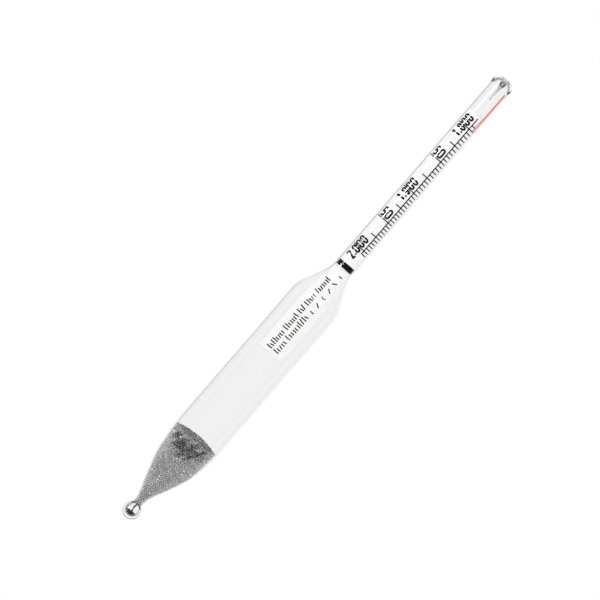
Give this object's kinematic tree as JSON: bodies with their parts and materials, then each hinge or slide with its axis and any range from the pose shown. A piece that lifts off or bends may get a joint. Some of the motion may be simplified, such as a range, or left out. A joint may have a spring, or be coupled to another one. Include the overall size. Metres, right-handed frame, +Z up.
{
  "type": "glass hydrometer",
  "caption": "Sealed glass float with a drawn nose full of shot, a bead tip, a straight bulb holding a paper label, and a thin graduated stem.",
  "frame": {"origin": "the lowest point of the glass bead, on the axis", "axes": "+Z runs up the axis towards the sealed end of the stem, as the instrument floats; -Y is the side that the printed faces of the papers look towards; +X is on the right when the print faces the viewer"},
  "size_m": [0.0186, 0.0186, 0.2],
  "materials": {
    "clear_glass": "polished",
    "lead_shot": "matte",
    "resin": "gloss",
    "white_paper": "matte",
    "black_ink": "matte",
    "black_tape": "satin",
    "red_film": "gloss"
  },
  "bodies": {
    "root": {"tip_bead": "clear_glass", "nose_cone": "clear_glass", "bulb_tube": "clear_glass", "shoulder": "clear_glass", "stem_tube": "clear_glass", "stem_cap": "clear_glass", "shot_ballast": "lead_shot", "resin_film": "resin", "scale_paper": "white_paper", "graduations": "black_ink", "label_paper": "white_paper", "neck_band": "black_tape", "red_strip": "red_film"}
  },
  "joints": []
}
